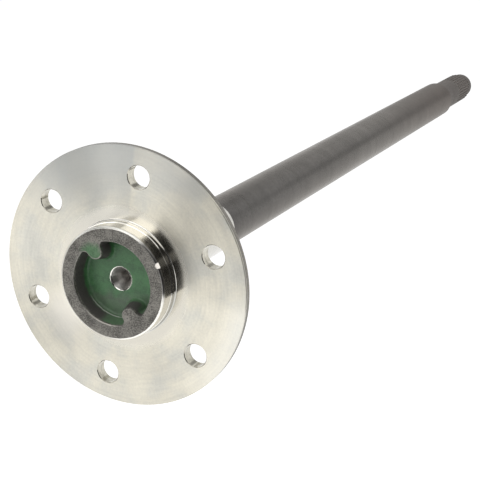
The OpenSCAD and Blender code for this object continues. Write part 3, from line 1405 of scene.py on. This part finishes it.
TURNED_FINISHES: dict[Zone, TurnedSteel] = {
    Zone.CENTRE: TurnedSteel(
        name="centre_drilled", colour=(0.66, 0.64, 0.61), shade=(0.36, 0.35, 0.33),
        roughness=0.38, pitch=0.6 * MM, depth=0.004 * MM, anisotropy=0.6,
    ),
    Zone.LIP: TurnedSteel(
        name="worn_lip_with_painted_highlight", colour=(0.34, 0.33, 0.3), shade=(0.14, 0.135, 0.125),
        roughness=0.4, spread=0.1, pitch=2.0 * MM, depth=0.0, speckle_contrast=1.4,
        # Painted highlight low on the lip, where it faces up; the lip's own lighter tone is wear
        painted_reflections=(
            PaintedReflection(
                colour=(0.7, 0.67, 0.6), start=-145.0, start_fade=35.0, end=-75.0, end_fade=20.0,
                across=Ramp(20.0 * MM, 21.0 * MM, 0.0, 0.55),
            ),
        ),
    ),
    Zone.PILOT: TurnedSteel(
        name="pilot_turned", colour=(0.95, 0.93, 0.87), shade=(0.88, 0.86, 0.8),
        roughness=0.08, spread=0.03, pitch=0.7 * MM, depth=0.001 * MM, anisotropy=0.3,
        # Painted dark reflection on the lower right of the pilots
        painted_reflections=(
            PaintedReflection(
                colour=(0.4, 0.4, 0.375), start=-75.0, start_fade=20.0, end=4.0, end_fade=10.0,
                across=Ramp(38.36 * MM, 38.8 * MM, 0.12, 0.75),
            ),
        ),
    ),
    Zone.FLANGE: TurnedSteel(
        name="flange_turned", colour=(0.775, 0.74, 0.63), shade=(0.6, 0.575, 0.5),
        roughness=0.32, spread=0.05, pitch=1.6 * MM, depth=0.003 * MM, anisotropy=1.0,
        line_contrast=0.9, cloud_size=26.0 * MM, cloud_contrast=1.4, speckle_size=1.6 * MM,
        speckle_contrast=0.9, patch_tint=(0.93, 0.955, 1.0),
        # The smoother cut round the boss is real; its darker colour there is painted shade
        smooth_r=44.0 * MM, smooth_share=0.4, painted_inner_shading=(0.58, 0.555, 0.49),
        # Painted reflections: darker sectors at the top and right of the boss, lighter ones lower left and
        # lower right
        painted_reflections=(
            PaintedReflection(
                colour=(0.44, 0.45, 0.44), start=81.0, start_fade=2.5, end=162.0, end_fade=46.0,
                across=Ramp(48.0 * MM, 75.0 * MM, 0.2, 0.8),
            ),
            PaintedReflection(
                colour=(0.44, 0.44, 0.42), start=40.0, start_fade=16.0, end=83.5, end_fade=2.5,
                across=Ramp(60.0 * MM, 84.0 * MM, 0.0, 0.6),
            ),
            PaintedReflection(
                colour=(0.95, 0.91, 0.82), start=-172.0, start_fade=25.0, end=-118.0, end_fade=25.0,
                across=Ramp(54.0 * MM, 76.0 * MM, 0.8, 0.0),
            ),
            PaintedReflection(
                colour=(0.2, 0.19, 0.17), start=-8.0, start_fade=22.0, end=60.0, end_fade=8.0,
                across=Ramp(44.0 * MM, 60.0 * MM, 0.42, 0.0),
            ),
            PaintedReflection(
                colour=(0.95, 0.94, 0.88), start=-60.0, start_fade=25.0, end=5.0, end_fade=15.0,
                across=Ramp(70.0 * MM, 88.0 * MM, 0.0, 0.36),
            ),
        ),
    ),
    Zone.EDGE: TurnedSteel(
        name="flange_edge", colour=(0.325, 0.308, 0.275), shade=(0.115, 0.109, 0.097),
        roughness=0.4, spread=0.1, pitch=1.0 * MM, depth=0.03 * MM, anisotropy=0.3,
        speckle_size=0.9 * MM, speckle_contrast=1.6,
    ),
    Zone.JOURNAL: TurnedSteel(
        name="journal_ground", colour=(0.69, 0.675, 0.63), shade=(0.57, 0.56, 0.525),
        roughness=0.2, spread=0.08, pitch=0.3 * MM, depth=0.002 * MM, anisotropy=0.5,
    ),
    Zone.SHAFT: TurnedSteel(
        name="shaft_oxide", colour=(0.132, 0.1275, 0.124), shade=(0.074, 0.0722, 0.0705),
        roughness=0.26, pitch=1.0 * MM, depth=0.008 * MM, metallic=0.9, line_contrast=0.8,
        mark_turns=4.0, cloud_size=24.0 * MM, cloud_contrast=1.2, speckle_size=1.6 * MM,
        speckle_contrast=1.3, edge_tint=(0.88, 0.85, 0.812), far_tint=(0.79, 0.695, 0.66),
        far_roughness=0.36, far_start=0.42, far_end=0.76,
    ),
    Zone.SPLINE: TurnedSteel(
        name="spline_hobbed", colour=(0.157, 0.138, 0.124), shade=(0.124, 0.109, 0.098),
        roughness=0.65, pitch=0.8 * MM, depth=0.004 * MM, metallic=0.1,
        # Lighter colour in the tooth spaces is painted light against their shade
        smooth_r=14.9 * MM, smooth_fade=0.06, painted_inner_shading=(0.31, 0.274, 0.249),
    ),
    Zone.BUTTON: TurnedSteel(
        name="end_button_turned", colour=(0.15, 0.132, 0.119), shade=(0.119, 0.104, 0.093),
        roughness=0.65, pitch=0.8 * MM, depth=0.004 * MM, metallic=0.1,
    ),
    Zone.HOLE: TurnedSteel(
        name="stud_hole_drilled", colour=(0.68, 0.655, 0.565), shade=(0.36, 0.342, 0.285),
        roughness=0.16, pitch=1.2 * MM, depth=0.002 * MM, anisotropy=0.4,
        line_contrast=0.4, cloud_size=4.0 * MM, cloud_contrast=2.2,
    ),
}


@dataclass(frozen=True)
class AxleShaft:
    """The whole shaft: its skin in one mesh, and the finish of each zone."""

    sizes: Interfaces
    sharp_angle: float = 32.0
    # Seed of the forged grain, so that each run has the same
    grain_seed: int = 7

    def build(self) -> bpy.types.Object:
        """Makes the shaft and dresses it.

        Returns:
            The shaft's object.
        """
        noise.seed_set(self.grain_seed)
        recess = BossRecess(rim_y=self.sizes.rim_y)
        boss = PilotBoss(self.sizes, recess)
        flange = WheelFlange(self.sizes, root_r=boss.root_r)
        shaft = Shaft(self.sizes, journal_start=flange.thickness + flange.journal_fillet)
        start = math.radians(recess.lug_clock)
        skin = RingStack(start + np.linspace(0.0, 2 * math.pi, SEGMENTS, endpoint=False))
        first_tip = recess.build(skin)
        boss.build(skin)
        flange.build(skin)
        last_tip = shaft.build(skin)
        made = link_object("axle_shaft_skin", skin.mesh("axle_shaft_skin", first_tip, last_tip))
        drills = link_object("stud_drills", flange.drills())
        finishes = {zone: finish.material() for zone, finish in TURNED_FINISHES.items()}
        finishes[Zone.FORGED] = PaintedForging("forged_and_painted", recess, boss.rim_r).material()
        for piece in (made, drills):
            for zone in Zone:
                piece.data.materials.append(finishes[zone])
            self.face_outwards(piece.data)
        self.drill(made, drills)
        made.data.shade_smooth()
        made.data.set_sharp_from_angle(angle=math.radians(self.sharp_angle))
        return made

    @staticmethod
    def face_outwards(mesh: bpy.types.Mesh) -> None:
        """Turns all faces of a closed mesh outwards.

        Args:
            mesh: The mesh, which is changed.
        """
        work = bmesh.new()
        work.from_mesh(mesh)
        bmesh.ops.recalc_face_normals(work, faces=work.faces)
        work.to_mesh(mesh)
        work.free()

    @staticmethod
    def drill(piece: bpy.types.Object, drills: bpy.types.Object) -> None:
        """Cuts the drills out of a piece, and takes them away.

        Args:
            piece: The piece that is drilled.
            drills: The drills, which are deleted.
        """
        cut = piece.modifiers.new("stud_holes", "BOOLEAN")
        cut.operation = "DIFFERENCE"
        cut.solver = "EXACT"
        cut.object = drills
        graph = bpy.context.evaluated_depsgraph_get()
        done = bpy.data.meshes.new_from_object(piece.evaluated_get(graph))
        done.name = piece.data.name
        piece.modifiers.clear()
        piece.data = done
        bpy.data.objects.remove(drills)


@dataclass(frozen=True)
class Camera:
    """Camera that sees the shaft as the photograph does."""

    place: Point = (0.38696, -0.65935, 0.25089)
    aim: Point = (0.08447, 0.0, 0.036105)
    lens: float = 91.84

    def build(self) -> None:
        """Adds the camera and makes it the scene's own."""
        data = bpy.data.cameras.new("photo_camera")
        data.lens = self.lens
        made = link_object("photo_camera", data)
        point_at(made, self.place, self.aim)
        bpy.context.scene.camera = made


@dataclass(frozen=True)
class Screen:
    """A bent upright screen round the shaft, seen only in reflections."""

    name: str
    radius: float
    # Degrees from straight ahead of the wheel face, towards +X
    start: float
    end: float
    low: float
    high: float
    tone: float
    # Widths over which the upright edges and the level edges fade, in degrees and metres
    soft_turn: float = 0.0
    soft_height: float = 0.0
    steps: int = 12

    def build(self) -> None:
        """Adds the screen, out of the camera's sight."""
        inside = np.linspace(self.start + self.soft_turn, self.end - self.soft_turn, self.steps - 1)
        turns = np.radians([self.start, *inside, self.end])
        rows = (self.low, self.low + self.soft_height, self.high - self.soft_height, self.high)
        points, cover = [], []
        for i, turn in enumerate(turns):
            x, y = self.radius * math.sin(turn), -self.radius * math.cos(turn)
            points += [(x, y, z) for z in rows]
            side = 1.0 if 0 < i < self.steps or not self.soft_turn else 0.0
            end = side if not self.soft_height else 0.0
            cover += [end, side, side, end]
        faces = []
        for i in range(self.steps):
            for k in range(len(rows) - 1):
                low = len(rows) * i + k
                faces.append((low, low + len(rows), low + len(rows) + 1, low + 1))
        mesh = bpy.data.meshes.new(self.name)
        mesh.from_pydata(points, [], faces)
        mesh.attributes.new("cover", "FLOAT", "POINT").data.foreach_set("value", cover)
        graph = Graph(self.name)
        shown = graph.node("ShaderNodeAttribute", attribute_name="cover").outputs["Fac"]
        mesh.materials.append(graph.matte(BLACK, self.tone, Alpha=shown))
        made = link_object(self.name, mesh)
        made.visible_camera = False
        made.visible_diffuse = False
        made.visible_shadow = False


@dataclass(frozen=True)
class Lamp:
    """A soft square lamp."""

    name: str
    place: Point
    aim: Point
    size: float
    power: float

    def build(self) -> None:
        """Adds the lamp, out of sight of reflections."""
        data = bpy.data.lights.new(self.name, "AREA")
        data.shape = "SQUARE"
        data.size = self.size
        data.energy = self.power
        made = link_object(self.name, data)
        point_at(made, self.place, self.aim)
        made.visible_glossy = False


@dataclass(frozen=True)
class Studio:
    """Pale floor, white surroundings, one soft lamp, and the screens that the steel reflects."""

    floor_z: float
    floor_half: float = 8.0
    floor_albedo: float = 0.8
    # Glow that lets the floor show as white
    floor_glow: float = 0.58
    # Strength of the surroundings as light, and as they show
    ambient: float = 0.55
    white: float = 1.0
    lamp: Lamp = Lamp(
        name="left_softbox", place=(-0.9, -0.9, 1.1), aim=(0.0, 0.0, 0.0), size=1.2, power=13.0
    )
    # How far the screen by the camera runs down past the floor
    below_floor: float = 0.08

    def screens(self) -> list[Screen]:
        """Lists the screens round the shaft.

        Returns:
            The screens.
        """
        return [
            Screen(
                name="dark_screen_by_camera", radius=0.62, start=17.0, end=100.0,
                low=self.floor_z - self.below_floor, high=0.5, tone=0.034, soft_turn=4.0, soft_height=0.06,
            ),
            Screen(
                name="dark_screen_over_camera", radius=0.62, start=5.0, end=24.0,
                low=-0.1, high=0.52, tone=0.02, soft_turn=4.0, soft_height=0.06,
            ),
            Screen(
                name="bright_strip_left", radius=1.15, start=-37.0, end=-30.5,
                low=-0.14, high=0.46, tone=1.7, soft_turn=1.5, soft_height=0.05,
            ),
            Screen(
                name="grey_patch_by_camera", radius=0.6, start=27.0, end=37.0,
                low=0.04, high=0.2, tone=0.38, soft_turn=4.0, soft_height=0.05,
            ),
            Screen(
                name="dark_screen_ahead", radius=0.9, start=-16.0, end=10.0,
                low=-0.1, high=0.34, tone=0.03, soft_turn=5.0, soft_height=0.07,
            ),
            Screen(
                name="dark_screen_left", radius=1.2, start=-66.0, end=-36.0,
                low=0.22, high=1.1, tone=0.03,
            ),
            Screen(
                name="dark_screen_high_left", radius=1.2, start=-36.0, end=-25.0,
                low=0.66, high=1.24, tone=0.03,
            ),
            Screen(
                name="dark_screen_low_left", radius=1.2, start=-44.0, end=-37.0,
                low=-0.06, high=0.22, tone=0.03,
            ),
            Screen(
                name="grey_screen_behind", radius=1.5, start=156.0, end=186.0,
                low=0.8, high=1.35, tone=0.3, soft_turn=4.0, soft_height=0.05,
            ),
            Screen(
                name="pale_screen_behind", radius=1.5, start=184.0, end=222.0,
                low=0.4, high=1.05, tone=0.85,
            ),
            Screen(
                name="pale_screen_far", radius=2.5, start=154.0, end=200.0,
                low=0.1, high=0.6, tone=0.64, soft_turn=3.0, soft_height=0.1,
            ),
            Screen(
                name="bright_window_ahead", radius=1.3, start=-24.0, end=5.0,
                low=0.62, high=1.15, tone=2.0,
            ),
        ]

    def seen_directly(self, tree: bpy.types.NodeTree) -> Socket:
        """Tells rays that show the surroundings from rays that light the object.

        Args:
            tree: Node tree that uses it.

        Returns:
            A socket with 1 for camera, glossy and transmission rays.
        """
        path = tree.nodes.new("ShaderNodeLightPath")
        socket = path.outputs["Is Camera Ray"]
        for name in ("Is Glossy Ray", "Is Transmission Ray"):
            joined = tree.nodes.new("ShaderNodeMath")
            joined.operation = "MAXIMUM"
            tree.links.new(socket, joined.inputs[0])
            tree.links.new(path.outputs[name], joined.inputs[1])
            socket = joined.outputs[0]
        return socket

    def build_world(self) -> None:
        """Makes white surroundings that light the object less than they show."""
        world = bpy.data.worlds.new("studio")
        bpy.context.scene.world = world
        world.use_nodes = True
        tree = world.node_tree
        back = tree.nodes["Background"]
        back.inputs["Color"].default_value = (*WHITE, 1.0)
        data_type, place, result = MixKind.NUMBER.value
        strength = tree.nodes.new("ShaderNodeMix")
        strength.data_type = data_type
        tree.links.new(self.seen_directly(tree), strength.inputs[0])
        strength.inputs[place].default_value = self.ambient
        strength.inputs[place + 1].default_value = self.white
        tree.links.new(strength.outputs[result], back.inputs["Strength"])

    def build_floor(self) -> None:
        """Makes the pale floor, which keeps the shaft's shadow."""
        half = self.floor_half
        mesh = bpy.data.meshes.new("floor")
        corners = [(x * half, y * half, self.floor_z) for x, y in ((-1, -1), (1, -1), (1, 1), (-1, 1))]
        mesh.from_pydata(corners, [], [(0, 1, 2, 3)])
        graph = Graph("pale_floor")
        glow = graph.math("MULTIPLY", self.seen_directly(graph.tree), self.floor_glow)
        mesh.materials.append(graph.matte((self.floor_albedo,) * 3, glow))
        link_object("floor", mesh)

    def build(self) -> None:
        """Makes the surroundings, the floor, the lamp and the screens."""
        bpy.context.scene.view_settings.view_transform = "Standard"
        self.build_world()
        self.build_floor()
        self.lamp.build()
        for screen in self.screens():
            screen.build()


def main() -> None:
    """Builds the shaft and its studio, and logs its steps."""
    logging.basicConfig(level=logging.INFO, format="%(name)s: %(message)s")
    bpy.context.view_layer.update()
    sizes = Interfaces.from_frame(frame["record"])
    Camera().build()
    log.info("camera placed")
    shaft = AxleShaft(sizes).build()
    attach(shaft, BODY)
    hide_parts(NODE)
    log.info("axle shaft: %d faces", len(shaft.data.polygons))
    Studio(floor_z=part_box(NODE)[0].z - FLOOR_DROP).build()
    log.info("studio lit")


if __name__ == "__main__":
    main()
